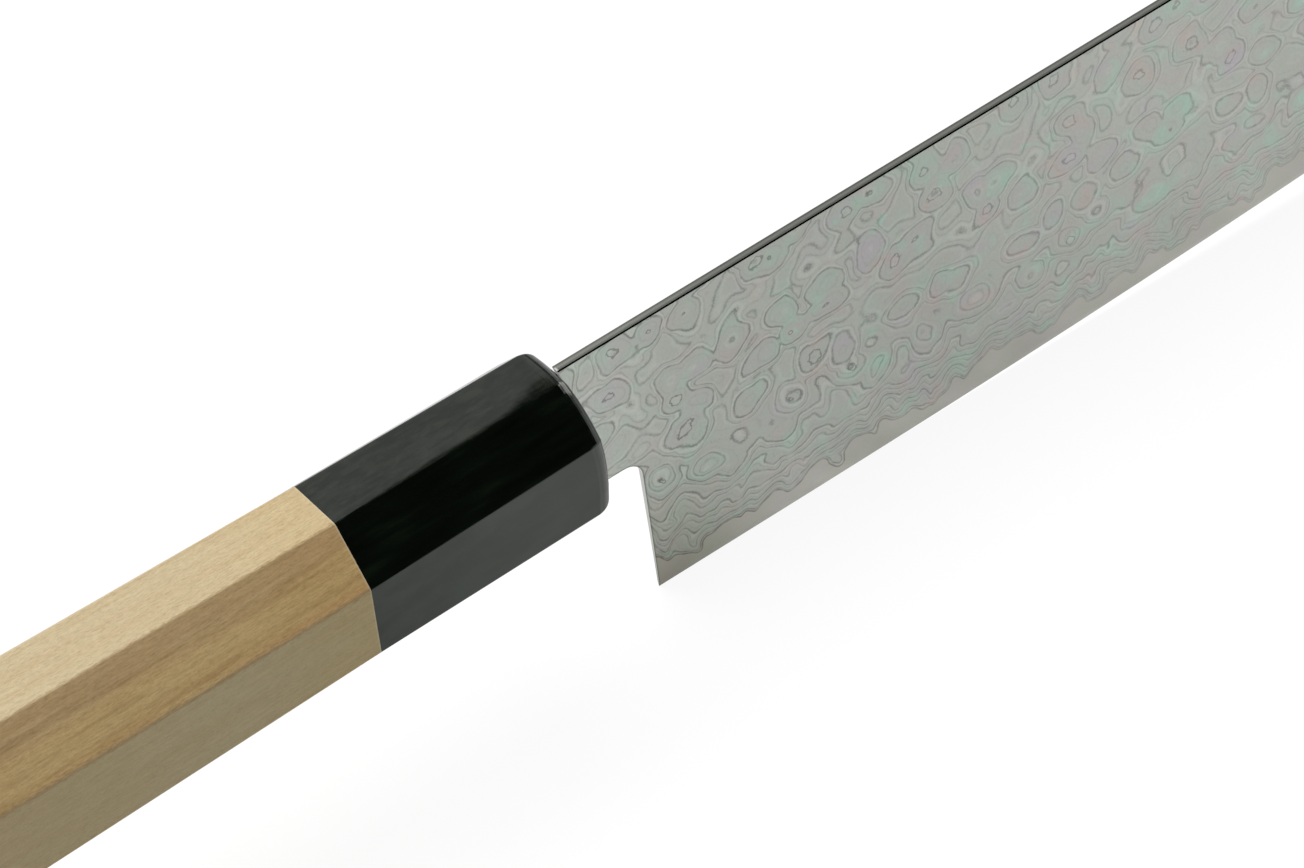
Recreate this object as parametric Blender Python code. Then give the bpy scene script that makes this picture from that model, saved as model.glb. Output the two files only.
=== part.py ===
"""A nakiri, the straight-edged vegetable knife, with its octagonal two-piece handle.

+X runs from the butt to the tip, +Z from the cutting edge up to the spine, and +Y to the left of
whoever holds it. Y = 0 is the blade's middle plane, Z = 0 the board under the cutting edge, and
X = 0 the middle of the knife's length. Sizes are in millimetres here and metres in the scene.
"""

import math

import bmesh
import bpy

MM = 0.001

# Blade, seen from the side
EDGE_LENGTH = 165.0
BLADE_HEIGHT = 45.0
EDGE_FLAT = 25.0  # straight stretch of edge ahead of the heel
EDGE_RISE = 6.0  # how far the edge has curved up at the tip
TOE_RADIUS = 2.0  # rounding between the edge and the front end
TIP_RADIUS = 16.0  # rounding between the front end and the spine
HEEL_LEAN = 0.45  # how far the heel line leans back at the notch
NECK_LENGTH = 9.2  # from the ferrule's crown to the heel
NECK_HEIGHT = 22.05  # from the spine down to the notch
NOTCH_RADIUS = 2.6

# Blade, seen along its length
SPINE_THICKNESS = 1.3
EDGE_THICKNESS = 0.3  # where the two flat sides would meet the board
BEVEL_HEIGHT = 0.8  # the sharpened bevel at the very edge
CORE_SHOWS = 4.5  # height of the band along the edge where the cladding is ground away
SPINE_CHAMFER = 0.16

# Tang, hidden in the handle
TANG_ROOT_HEIGHT = 11.0
TANG_END_HEIGHT = 6.0
TANG_END_SLANT = 4.0  # length of the blunt point at the end
TANG_POINT_HEIGHT = 3.0
BUTT_WALL = 36.0  # wood left behind the tang's end

# Handle, an octagon that is taller than it is wide
BODY_LENGTH = 96.0
BUTT_HEIGHT = 27.8
BUTT_WIDTH = 22.4
BUTT_TOP_FACET = 9.0
BUTT_SIDE_FACET = 13.4
JOINT_HEIGHT = 23.8
JOINT_WIDTH = 19.8
JOINT_TOP_FACET = 8.1
JOINT_SIDE_FACET = 10.6
BODY_CORNER_RADIUS = 0.5
BUTT_ROUNDING = 1.2

# Ferrule, with a domed front that has a rounded rim
FERRULE_LENGTH = 36.0
FRONT_HEIGHT = 23.6
FRONT_WIDTH = 18.6
FRONT_TOP_FACET = 7.1
FRONT_SIDE_FACET = 11.1
FERRULE_CORNER_RADIUS = 0.4
DOME_RADIUS = 36.0
RIM_LENGTH = 1.8
RIM_WIDTH = 1.2
SPINE_BELOW_TOP = 1.3  # the spine lies this far under the ferrule's top facet

# Joint between body and ferrule, and the bed of the tang
FERRULE_WALL = 1.5  # beside the bore, where the ferrule is thinnest
CROWN_WALL = 9.7  # between the bore's end and the ferrule's crown
TENON_CLEARANCE = 0.3
TANG_CLEARANCE = 0.4
ADHESIVE_WALL = 0.7
SHOULDER_CLEARANCE = 0.3

# Fineness of curved shapes
ARC_STEPS = 8
BUTT_STEPS = 4
TOE_STEPS = 4
CURVE_STEPS = 12
CORNER_STEPS = 2
FACET_STEPS = 4
TENON_SIDES = 48
SMALLEST_STEP = 0.05
DOME_SHARES = (0.55, 0.3)  # rings inside the rounded rim, as shares of the front outline
SHARPEST_SMOOTH = math.radians(30)

# Places along the knife, and heights on it
OVERALL_LENGTH = BODY_LENGTH + FERRULE_LENGTH + NECK_LENGTH + EDGE_LENGTH
BUTT_X = -OVERALL_LENGTH / 2
TANG_END_X = BUTT_X + BUTT_WALL
JOINT_X = BUTT_X + BODY_LENGTH
CROWN_X = JOINT_X + FERRULE_LENGTH
HEEL_X = CROWN_X + NECK_LENGTH
FLAT_END_X = HEEL_X + EDGE_FLAT
TIP_X = HEEL_X + EDGE_LENGTH
AXIS_Z = BLADE_HEIGHT + SPINE_BELOW_TOP - FRONT_HEIGHT / 2
NOTCH_Z = BLADE_HEIGHT - NECK_HEIGHT

# The flat sides lean together towards the edge, and below the cladding they cut into the core
SIDE_SLOPE = (SPINE_THICKNESS - EDGE_THICKNESS) / 2 / BLADE_HEIGHT
CORE_THICKNESS = EDGE_THICKNESS + 2 * SIDE_SLOPE * CORE_SHOWS

BORE_RADIUS = min(FRONT_WIDTH, FRONT_HEIGHT, JOINT_WIDTH, JOINT_HEIGHT) / 2 - FERRULE_WALL
BORE_END_X = CROWN_X - CROWN_WALL
TENON_RADIUS = BORE_RADIUS - TENON_CLEARANCE
TENON_END_X = BORE_END_X - TENON_CLEARANCE


def clear_scene():
    for obj in list(bpy.data.objects):
        bpy.data.objects.remove(obj, do_unlink=True)


def make_material(name, color, roughness, metallic):
    material = bpy.data.materials.new(name)
    material.use_nodes = True
    shader = material.node_tree.nodes["Principled BSDF"]
    shader.inputs["Base Color"].default_value = (*color, 1.0)
    shader.inputs["Roughness"].default_value = roughness
    shader.inputs["Metallic"].default_value = metallic
    return material


def make_object(name, bm, material=None):
    """Turns a bmesh in millimetres into a named object in metres."""
    bmesh.ops.recalc_face_normals(bm, faces=bm.faces)
    bmesh.ops.scale(bm, vec=(MM, MM, MM), verts=bm.verts)
    mesh = bpy.data.meshes.new(name)
    bm.to_mesh(mesh)
    bm.free()
    obj = bpy.data.objects.new(name, mesh)
    bpy.context.scene.collection.objects.link(obj)
    if material:
        mesh.materials.append(material)
        mesh.shade_smooth()
        mesh.set_sharp_from_angle(angle=SHARPEST_SMOOTH)
    return obj


def add_boolean(obj, cutter, operation):
    cutter.hide_render = True
    cutter.display_type = "WIRE"
    modifier = obj.modifiers.new(cutter.name, "BOOLEAN")
    modifier.operation = operation
    modifier.solver = "EXACT"
    modifier.object = cutter


def add_strip(bm, first, second):
    """A strip of faces between two rows of vertices."""
    for index in range(len(first) - 1):
        bm.faces.new([first[index], first[index + 1], second[index + 1], second[index]])


def add_band(bm, first, second):
    """A strip between two rings of vertices, closed on itself."""
    add_strip(bm, first + first[:1], second + second[:1])


def add_rings(bm, rings):
    """A closed skin through rings of (x, y, z) points, with a face across either end."""
    rows = [[bm.verts.new(point) for point in ring] for ring in rings]
    for first, second in zip(rows, rows[1:]):
        add_band(bm, first, second)
    bm.faces.new(rows[0])
    bm.faces.new(rows[-1])


def quarter_turns(steps):
    return [math.pi / 2 * step / steps for step in range(steps + 1)]


def rounding(share):
    """How far a quarter round has fallen at a share of its width, as a share of its height."""
    share = min(1.0, max(0.0, share))
    return 1 - math.sqrt(1 - share * share)


def edge_height(x):
    """Height of the cutting edge above the board: flat, then a shallow curve, then the toe."""
    along = max(0.0, (x - FLAT_END_X) / (TIP_X - FLAT_END_X))
    return EDGE_RISE * along**2 + TOE_RADIUS * rounding(1 - (TIP_X - x) / TOE_RADIUS)


def spine_height(x):
    return BLADE_HEIGHT - TIP_RADIUS * rounding(1 - (TIP_X - x) / TIP_RADIUS)


def heel_line_x(z):
    return HEEL_X - HEEL_LEAN * z / NOTCH_Z


def half_thickness(x, z):
    return EDGE_THICKNESS / 2 + SIDE_SLOPE * (z - edge_height(x))


def front_x(across, share):
    """Where the ferrule's front lies, at a distance across from the handle's middle line.

    share is that distance as a share of the way out to the rim, which is rounded over."""
    rim = RIM_WIDTH / (FRONT_WIDTH / 2)
    fallen = RIM_LENGTH * rounding(1 - (1 - share) / rim)
    return CROWN_X - across**2 / (2 * DOME_RADIUS) - fallen


def shoulder_x(z):
    """The neck's rear end, filed to follow the ferrule's front."""
    across = abs(z - AXIS_Z)
    return front_x(across, across / (FRONT_HEIGHT / 2)) + SHOULDER_CLEARANCE


def tang_half_height(x):
    root_x = shoulder_x(AXIS_Z + TANG_ROOT_HEIGHT / 2)
    share = (root_x - x) / (root_x - TANG_END_X)
    return (TANG_ROOT_HEIGHT + (TANG_END_HEIGHT - TANG_ROOT_HEIGHT) * share) / 2


def shoulder_points(first, last):
    heights = [first + (last - first) * step / ARC_STEPS for step in range(ARC_STEPS + 1)]
    return [(shoulder_x(z), z) for z in heights]


def notch_points():
    """The rounded inner corner between the heel line and the underside of the neck."""
    points = []
    for turn in quarter_turns(ARC_STEPS):
        x = heel_line_x(NOTCH_Z) - NOTCH_RADIUS * (1 - math.cos(turn))
        points.append((x, NOTCH_Z - NOTCH_RADIUS * (1 - math.sin(turn))))
    return points


def rear_outline():
    """The rear stretch from the side, with flat sides: heel, notch, neck, tang and spine.

    Its lower side is the line along the edge where the core comes out of the cladding."""
    slant_x = TANG_END_X + TANG_END_SLANT
    tang_end = [(slant_x, -tang_half_height(slant_x)), (TANG_END_X, -TANG_POINT_HEIGHT / 2)]
    tang_end += [(x, -z) for x, z in reversed(tang_end)]
    outline = [(FLAT_END_X, CORE_SHOWS), (heel_line_x(CORE_SHOWS), CORE_SHOWS)]
    outline += notch_points()
    outline += shoulder_points(NOTCH_Z, AXIS_Z - TANG_ROOT_HEIGHT / 2)
    outline += [(x, AXIS_Z + z) for x, z in tang_end]
    outline += shoulder_points(AXIS_Z + TANG_ROOT_HEIGHT / 2, BLADE_HEIGHT)
    return outline + [(FLAT_END_X, BLADE_HEIGHT)]


def front_columns():
    """Upright lines across the stretch with the curved edge, each a lower and an upper point."""
    arc_start = TIP_X - TIP_RADIUS
    places = [FLAT_END_X + (arc_start - FLAT_END_X) * step / CURVE_STEPS for step in range(1, CURVE_STEPS)]
    places += [arc_start + TIP_RADIUS * math.sin(turn) for turn in quarter_turns(ARC_STEPS)]
    for turn in quarter_turns(TOE_STEPS):
        x = TIP_X - TOE_RADIUS * (1 - math.sin(turn))
        if all(abs(x - place) > SMALLEST_STEP for place in places):
            places.append(x)
    return [((x, edge_height(x) + CORE_SHOWS), (x, spine_height(x))) for x in sorted(places)]


def core_line(rear, columns):
    """The points from heel to tip where the core comes out of the cladding."""
    return [rear[1], rear[0]] + [bottom for bottom, _ in columns]


def blade_places(lift, columns):
    """The x of each point along the blade at one height above its edge, from heel to tip."""
    return [heel_line_x(lift), FLAT_END_X] + [bottom[0] for bottom, _ in columns]


def add_broad_face(bm, verts, rear, columns):
    """One broad side: a single flat face for the rear stretch, then a strip of faces to the tip."""
    bm.faces.new([verts[point] for point in rear])
    lower = [rear[0]] + [bottom for bottom, _ in columns]
    upper = [rear[-1]] + [top for _, top in columns]
    add_strip(bm, [verts[point] for point in lower], [verts[point] for point in upper])


def make_core(material):
    """The hard middle sheet with its tang, ground to an edge below the cladding."""
    bm = bmesh.new()
    rear, columns = rear_outline(), front_columns()
    lower = core_line(rear, columns)
    around = rear[1:] + [top for _, top in columns] + [lower[-1]]
    edge = [bm.verts.new((x, 0.0, edge_height(x))) for x in blade_places(0.0, columns)]
    sheet, bevel_top = {}, {}
    for side in (-1, 1):
        y = side * CORE_THICKNESS / 2
        sheet[side] = {(x, z): bm.verts.new((x, y, z)) for x, z in dict.fromkeys(around + lower)}
        bevel_top[side] = []
        for x in blade_places(BEVEL_HEIGHT, columns):
            z = edge_height(x) + BEVEL_HEIGHT
            bevel_top[side].append(bm.verts.new((x, side * half_thickness(x, z), z)))
        add_broad_face(bm, sheet[side], rear, columns)
        add_strip(bm, [sheet[side][point] for point in lower], bevel_top[side])
        add_strip(bm, bevel_top[side], edge)
    add_strip(bm, [sheet[-1][point] for point in around], [sheet[1][point] for point in around])
    for end in (0, -1):
        corners = [sheet[-1][lower[end]], bevel_top[-1][end], edge[end]]
        bm.faces.new(corners + [bevel_top[1][end], sheet[1][lower[end]]])
    return make_object("core_steel", bm, material)


def make_cladding(name, side, material):
    """A sheet of layered steel on one side of the core, down to where the core shows."""
    bm = bmesh.new()
    rear, columns = rear_outline(), front_columns()
    lower = core_line(rear, columns)
    boundary = rear[1:] + [top for _, top in columns] + lower[:0:-1]
    inner, outer = {}, {}
    for x, z in boundary:
        inner[x, z] = bm.verts.new((x, side * CORE_THICKNESS / 2, z))
        outer[x, z] = inner[x, z]
        if (x, z) not in lower:
            outer[x, z] = bm.verts.new((x, side * half_thickness(x, z), z))
    add_broad_face(bm, inner, rear, columns)
    add_broad_face(bm, outer, rear, columns)
    for first, second in zip(boundary, boundary[1:] + boundary[:1]):
        corners = dict.fromkeys([inner[first], inner[second], outer[second], outer[first]])
        if len(corners) > 2:
            bm.faces.new(list(corners))
    spine = rear[-2:] + [top for _, top in columns]
    spine_edges = [bm.edges.get((outer[first], outer[second])) for first, second in zip(spine, spine[1:])]
    bmesh.ops.recalc_face_normals(bm, faces=bm.faces)
    bmesh.ops.bevel(bm, geom=spine_edges, offset=SPINE_CHAMFER * math.sqrt(2), offset_type="WIDTH",
                    segments=1, profile=0.5, affect="EDGES", material=-1)
    return make_object(name, bm, material)


def octagon(height, width, top_facet, side_facet):
    """The corners of a handle section as (y, z) points about its middle line."""
    quarter = [(width / 2, side_facet / 2), (top_facet / 2, height / 2)]
    half = quarter + [(-y, z) for y, z in reversed(quarter)]
    return half + [(-y, -z) for y, z in half]


def joint_octagon():
    return octagon(JOINT_HEIGHT, JOINT_WIDTH, JOINT_TOP_FACET, JOINT_SIDE_FACET)


def soft_outline(corners, radius, facet_steps):
    """The same outline with its corners rounded and its facets split into equal steps."""
    arcs = []
    for index, (y, z) in enumerate(corners):
        before, after = corners[index - 1], corners[(index + 1) % len(corners)]
        to_before = math.atan2(before[1] - z, before[0] - y)
        to_after = math.atan2(after[1] - z, after[0] - y)
        half_angle = ((to_before - to_after) % (2 * math.pi)) / 2
        reach = radius / math.sin(half_angle)
        middle = to_after + half_angle
        center_y, center_z = y + reach * math.cos(middle), z + reach * math.sin(middle)
        sweep = math.pi - 2 * half_angle
        turns = [middle + math.pi + sweep * (step / CORNER_STEPS - 0.5) for step in range(CORNER_STEPS + 1)]
        arcs.append([(center_y + radius * math.cos(a), center_z + radius * math.sin(a)) for a in turns])
    points = []
    for arc, next_arc in zip(arcs, arcs[1:] + arcs[:1]):
        (y0, z0), (y1, z1) = arc[-1], next_arc[0]
        shares = [step / facet_steps for step in range(1, facet_steps)]
        points += arc + [(y0 + (y1 - y0) * share, z0 + (z1 - z0) * share) for share in shares]
    return points


def make_prism(name, start, end, sections):
    """A cutter or a rod between two places, from its (y, z) section at either one."""
    bm = bmesh.new()
    add_rings(bm, [[(x, y, z) for y, z in section] for x, section in zip((start, end), sections)])
    return make_object(name, bm)


def make_rod(name, start, end, radius):
    turns = [2 * math.pi * step / TENON_SIDES for step in range(TENON_SIDES)]
    circle = [(radius * math.cos(turn), AXIS_Z + radius * math.sin(turn)) for turn in turns]
    return make_prism(name, start, end, (circle, circle))


def slot_corners():
    """The corners of the ferrule's slot for the tang and its adhesive, as (y, z) points."""
    half_y = half_thickness(CROWN_X, AXIS_Z + TANG_ROOT_HEIGHT / 2) + ADHESIVE_WALL
    half_z = TANG_ROOT_HEIGHT / 2 + ADHESIVE_WALL
    low, high = AXIS_Z - half_z, AXIS_Z + half_z
    return [(-half_y, low), (half_y, low), (half_y, high), (-half_y, high)]


def tang_corners(x, clearance):
    """The tang's corners at one place along it, grown by a clearance, as (y, z) points."""
    low, high = AXIS_Z - tang_half_height(x), AXIS_Z + tang_half_height(x)
    low_y, high_y = half_thickness(x, low) + clearance, half_thickness(x, high) + clearance
    low, high = low - clearance, high + clearance
    return [(-low_y, low), (low_y, low), (high_y, high), (-high_y, high)]


def make_ferrule(material):
    """The glossy black collar: octagonal outside, domed in front and bored behind."""
    front = octagon(FRONT_HEIGHT, FRONT_WIDTH, FRONT_TOP_FACET, FRONT_SIDE_FACET)
    front = soft_outline(front, FERRULE_CORNER_RADIUS, FACET_STEPS)
    joint = soft_outline(joint_octagon(), FERRULE_CORNER_RADIUS, FACET_STEPS)
    rim = []
    for (y0, z0), (y1, z1) in zip(joint, front):
        x = front_x(math.hypot(y1, z1), 1.0)
        share = (x - JOINT_X) / FERRULE_LENGTH
        rim.append((x, y0 + (y1 - y0) * share, AXIS_Z + z0 + (z1 - z0) * share))
    rings = [[(JOINT_X, y, AXIS_Z + z) for y, z in joint], rim]
    rim_turns = quarter_turns(ARC_STEPS)[1:]
    rim_shares = [1 - RIM_WIDTH / (FRONT_WIDTH / 2) * (1 - math.cos(turn)) for turn in rim_turns]
    for share in rim_shares + list(DOME_SHARES):
        points = [(y * share, z * share) for y, z in front]
        rings.append([(front_x(math.hypot(y, z), share), y, AXIS_Z + z) for y, z in points])
    bm = bmesh.new()
    add_rings(bm, rings)
    ferrule = make_object("ferrule", bm, material)

    bore = make_rod("ferrule_bore", JOINT_X - TENON_CLEARANCE, BORE_END_X, BORE_RADIUS)
    add_boolean(ferrule, bore, "DIFFERENCE")
    slot_ends = (BORE_END_X - TENON_CLEARANCE, CROWN_X + TENON_CLEARANCE)
    slot = make_prism("ferrule_slot", *slot_ends, (slot_corners(), slot_corners()))
    add_boolean(ferrule, slot, "DIFFERENCE")
    return ferrule


def make_body(material):
    """The pale wooden grip, with the tenon that carries the ferrule and the hole for the tang."""
    joint = soft_outline(joint_octagon(), BODY_CORNER_RADIUS, 1)
    butt = octagon(BUTT_HEIGHT, BUTT_WIDTH, BUTT_TOP_FACET, BUTT_SIDE_FACET)
    butt = soft_outline(butt, BODY_CORNER_RADIUS, 1)
    rings = [[(JOINT_X, y, AXIS_Z + z) for y, z in joint]]
    for turn in quarter_turns(BUTT_STEPS):
        x = BUTT_X + BUTT_ROUNDING * (1 - math.sin(turn))
        share = 1 - BUTT_ROUNDING / (BUTT_WIDTH / 2) * (1 - math.cos(turn))
        rings.append([(x, y * share, AXIS_Z + z * share) for y, z in butt])
    bm = bmesh.new()
    add_rings(bm, rings)
    body = make_object("handle_body", bm, material)

    tenon_root_x = (BUTT_X + JOINT_X) / 2
    tenon = make_rod("body_tenon", tenon_root_x, TENON_END_X, TENON_RADIUS)
    add_boolean(body, tenon, "UNION")
    hole_ends = (TANG_END_X - TANG_CLEARANCE, BORE_END_X)
    hole = make_prism("tang_hole", *hole_ends, [tang_corners(x, TANG_CLEARANCE) for x in hole_ends])
    add_boolean(body, hole, "DIFFERENCE")
    return body


def make_adhesive(material):
    """The set adhesive that fills the ferrule's slot round the tang and seals it."""
    front_end = shoulder_x(slot_corners()[-1][1]) - 2 * SHOULDER_CLEARANCE
    bm = bmesh.new()
    ends = []
    for x in (BORE_END_X, front_end):
        outer = [bm.verts.new((x, y, z)) for y, z in slot_corners()]
        inner = [bm.verts.new((x, y, z)) for y, z in tang_corners(x, 0.0)]
        add_band(bm, outer, inner)
        ends.append((outer, inner))
    (rear_outer, rear_inner), (front_outer, front_inner) = ends
    add_band(bm, rear_outer, front_outer)
    add_band(bm, rear_inner, front_inner)
    return make_object("tang_adhesive", bm, material)


def main():
    clear_scene()
    core_steel = make_material("core steel", (0.40, 0.40, 0.38), 0.35, 1.0)
    layered_steel = make_material("layered steel", (0.36, 0.37, 0.35), 0.45, 1.0)
    black_horn = make_material("black horn", (0.008, 0.008, 0.007), 0.12, 0.0)
    pale_wood = make_material("pale wood", (0.50, 0.37, 0.20), 0.55, 0.0)
    set_adhesive = make_material("set adhesive", (0.10, 0.09, 0.07), 0.40, 0.0)
    make_core(core_steel)
    make_cladding("cladding_left", 1, layered_steel)
    make_cladding("cladding_right", -1, layered_steel)
    make_ferrule(black_horn)
    make_body(pale_wood)
    make_adhesive(set_adhesive)


main()
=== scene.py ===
# %% [markdown]
# # A vegetable knife with a layered blade
#
# The knife stands on its cutting edge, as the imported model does: +X runs to the tip, +Z up to the
# spine, and the camera looks at the right side, where Y is negative. This lesson gives every piece
# its finish. The blade is the main subject: its raindrop pattern is grown from the same cause as in
# real steel, a stack of thin layers that was dented and then ground flat.

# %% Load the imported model
import math

import bmesh
import bpy
from mathutils import Matrix, Vector


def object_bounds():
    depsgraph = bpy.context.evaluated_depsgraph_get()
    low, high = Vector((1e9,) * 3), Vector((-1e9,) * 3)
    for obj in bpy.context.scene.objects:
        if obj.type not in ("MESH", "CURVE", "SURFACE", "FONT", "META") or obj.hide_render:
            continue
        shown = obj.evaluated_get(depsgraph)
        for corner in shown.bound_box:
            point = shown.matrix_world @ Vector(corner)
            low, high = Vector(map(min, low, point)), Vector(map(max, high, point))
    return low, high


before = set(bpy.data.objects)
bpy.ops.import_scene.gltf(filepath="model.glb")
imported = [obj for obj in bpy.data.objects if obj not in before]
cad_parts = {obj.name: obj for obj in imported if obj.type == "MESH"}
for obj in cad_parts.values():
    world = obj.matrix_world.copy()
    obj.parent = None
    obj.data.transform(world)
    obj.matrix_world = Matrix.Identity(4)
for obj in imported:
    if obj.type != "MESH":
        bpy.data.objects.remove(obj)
cad_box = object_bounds()
MM = 0.001

low, high = cad_box
print("the knife spans, in mm:", [round((b - a) / MM, 1) for a, b in zip(low, high)])

# %% [markdown]
# ## The camera
#
# The photograph looks down on the knife from behind its handle, through a long lens that leaves out
# the butt and the tip. A camera could be placed by its matrix, but its turn round the knife, its
# height, its tilt and its distance say more to a reader, so the matrix is built from those.

# %% Camera
CAMERA_TURN = math.radians(-32.119)
CAMERA_HEIGHT = math.radians(45.514)
CAMERA_TILT = math.radians(-7.404)
CAMERA_DISTANCE = 981.43 * MM
CAMERA_TARGET = Vector((-10.09, 0.0, 25.43)) * MM
LENS_MM = 226.11
SENSOR_MM = 36.0
NEAREST_SEEN = 10 * MM


def direction(turn, height):
    """A unit vector towards a place round the knife: a turn from the -Y side, a height above level."""
    return Vector((math.sin(turn) * math.cos(height), -math.cos(turn) * math.cos(height), math.sin(height)))


camera_data = bpy.data.cameras.new("camera")
camera_data.lens = LENS_MM
camera_data.sensor_width = SENSOR_MM
camera_data.clip_start = NEAREST_SEEN
camera = bpy.data.objects.new("camera", camera_data)
bpy.context.scene.collection.objects.link(camera)
turned = Matrix.Rotation(CAMERA_TURN, 4, "Z") @ Matrix.Rotation(math.pi / 2 - CAMERA_HEIGHT, 4, "X")
place = CAMERA_TARGET + CAMERA_DISTANCE * direction(CAMERA_TURN, CAMERA_HEIGHT)
camera.matrix_world = Matrix.Translation(place) @ turned @ Matrix.Rotation(CAMERA_TILT, 4, "Z")
bpy.context.scene.camera = camera
print("camera at, in mm:", [round(value / MM) for value in place])

# %% [markdown]
# ## Small helpers for shader nodes
#
# A procedural material is a graph of nodes. Written one by one, a graph hides its meaning, so these
# helpers let the script say it as arithmetic. Each takes numbers or sockets and returns a socket.

# %% Helpers for shader nodes
class Graph:
    """A material's node tree, with short ways to add and link nodes."""

    def __init__(self, tree):
        self.tree = tree

    def add(self, kind, inputs=None, output=0, **settings):
        node = self.tree.nodes.new(kind)
        for name, value in settings.items():
            setattr(node, name, value)
        for key, value in (inputs or {}).items():
            self.set(node.inputs[key], value)
        return node.outputs[output]

    def set(self, socket, value):
        if isinstance(value, bpy.types.NodeSocket):
            self.tree.links.new(value, socket)
        elif socket.type == "RGBA":
            socket.default_value = (*value, 1.0)
        else:
            socket.default_value = value

    def calc(self, operation, *values):
        return self.add("ShaderNodeMath", dict(enumerate(values)), operation=operation)

    def plus(self, first, second):
        return self.calc("ADD", first, second)

    def minus(self, first, second):
        return self.calc("SUBTRACT", first, second)

    def times(self, first, *factors):
        for factor in factors:
            first = self.calc("MULTIPLY", first, factor)
        return first

    def over(self, first, second):
        return self.calc("DIVIDE", first, second)

    def at_least(self, value, least):
        return self.calc("MAXIMUM", value, least)

    def apart(self, first, second):
        """How far two values are from one another."""
        return self.calc("ABSOLUTE", self.minus(first, second))

    def swing(self, value, reach):
        """A noise value of 0 to 1 made into a swing of up to half a reach to either side."""
        return self.times(self.minus(value, 0.5), reach)

    def mapped(self, value, low, high, to_low=0.0, to_high=1.0, kind="SMOOTHSTEP"):
        """The range from low to high laid over another range, easing in and out at its ends."""
        inputs = {"Value": value, "From Min": low, "From Max": high, "To Min": to_low, "To Max": to_high}
        return self.add("ShaderNodeMapRange", inputs, interpolation_type=kind)

    def sloped(self, value, low, high, to_low, to_high):
        """The same in a straight line."""
        return self.mapped(value, low, high, to_low, to_high, kind="LINEAR")

    def vector(self, operation, *values):
        return self.add("ShaderNodeVectorMath", dict(enumerate(values)), operation=operation)

    def stretched(self, vector, factors):
        """Each part of a vector times its own factor: a small one draws a pattern out that way."""
        return self.vector("MULTIPLY", vector, factors)

    def moved(self, vector, step):
        return self.vector("ADD", vector, step)

    def scaled(self, vector, factor):
        return self.add("ShaderNodeVectorMath", {0: vector, "Scale": factor}, operation="SCALE")

    def length(self, first, second):
        """The length of a step given by its two parts."""
        step = self.add("ShaderNodeCombineXYZ", {0: first, 1: second})
        return self.add("ShaderNodeVectorMath", {0: step}, "Value", operation="LENGTH")

    def axes(self, vector):
        """The x, y and z of a vector."""
        return self.add("ShaderNodeSeparateXYZ", {0: vector}).node.outputs

    def channels(self, color):
        """The red, green and blue of a colour."""
        return self.add("ShaderNodeSeparateColor", {0: color}).node.outputs


# %% [markdown]
# The next helpers make colours, random patterns and relief, and ask the surface where it is. Places
# are object coordinates throughout: they stay with the piece and need no unwrapping, and they go
# on from one piece to the next, since all pieces share one frame.

# %% Helpers for colour, noise and relief
class Finish(Graph):
    """A graph that can also ask the surface where it is and which way it faces."""

    def ramp(self, value, stops):
        """A colour for a value, from (place, grey or colour) stops."""
        color = self.add("ShaderNodeValToRGB", {"Fac": value})
        elements = color.node.color_ramp.elements
        elements.remove(elements[1])
        for index, (place, shade) in enumerate(stops):
            element = elements.new(place) if index else elements[0]
            element.position = place
            element.color = (*shade, 1.0) if isinstance(shade, tuple) else (shade, shade, shade, 1.0)
        return color

    def mix(self, factor, first, second, blend="MIX"):
        inputs = {0: factor, 6: first, 7: second}
        return self.add("ShaderNodeMix", inputs, 2, data_type="RGBA", blend_type=blend)

    def tint(self, color, tint):
        """A colour times a tint, channel by channel."""
        return self.mix(1.0, color, tint, "MULTIPLY")

    def noise(self, vector, size, detail=2.0, roughness=0.5, output="Fac", dimensions="3D"):
        """Soft random values whose lumps are about one size across, in the vector's own units. They
        crowd round 0.5, so a range such as 0.35 to 0.65 already tells most hollows from most lumps."""
        inputs = {"Vector": vector, "Scale": 1 / size, "Detail": detail, "Roughness": roughness}
        return self.add("ShaderNodeTexNoise", inputs, output, noise_dimensions=dimensions)

    def streaks(self, place, along, size, detail=2.0, roughness=0.5):
        """Noise drawn out along the handle: the smaller along is, the longer the streaks."""
        return self.noise(self.stretched(place, (along, 1.0, 1.0)), size, detail, roughness)

    def warped(self, vector, size, reach, detail=1.0):
        """The vector pushed about by up to a reach, in the plane of its first two axes."""
        push = self.noise(vector, size, detail, output="Color", dimensions="2D")
        push = self.vector("SUBTRACT", push, (0.5, 0.5, 0.5))
        return self.moved(vector, self.stretched(push, (2 * reach, 2 * reach, 0.0)))

    def bump(self, height, strength, distance):
        """A normal tilted by a relief; the distance is how many millimetres a height of 1 is."""
        inputs = {"Strength": strength, "Distance": distance * MM, "Height": height}
        return self.add("ShaderNodeBump", inputs)

    def place(self):
        """Places on the piece, in millimetres."""
        return self.scaled(self.add("ShaderNodeTexCoord", output="Object"), 1 / MM)

    def facing(self):
        """The direction that the surface faces, as x, y and z."""
        return self.axes(self.add("ShaderNodeTexCoord", output="Normal"))


# %% [markdown]
# Each finish is a fresh material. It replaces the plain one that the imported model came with, and
# the mesh under it is left as it is.

# %% Materials
def new_material(name):
    """A fresh material, its graph and its shader."""
    material = bpy.data.materials.new(name)
    material.use_nodes = True
    graph = Finish(material.node_tree)
    return material, graph, material.node_tree.nodes["Principled BSDF"]


def give(graph, shader, **values):
    """Sets the shader's inputs, named with underscores for spaces."""
    for name, value in values.items():
        graph.set(shader.inputs[name.replace("_", " ")], value)


def dress(name, material):
    """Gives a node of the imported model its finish."""
    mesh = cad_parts[name].data
    mesh.materials.clear()
    mesh.materials.append(material)
    print("dressed", name, "in", material.name)


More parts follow.
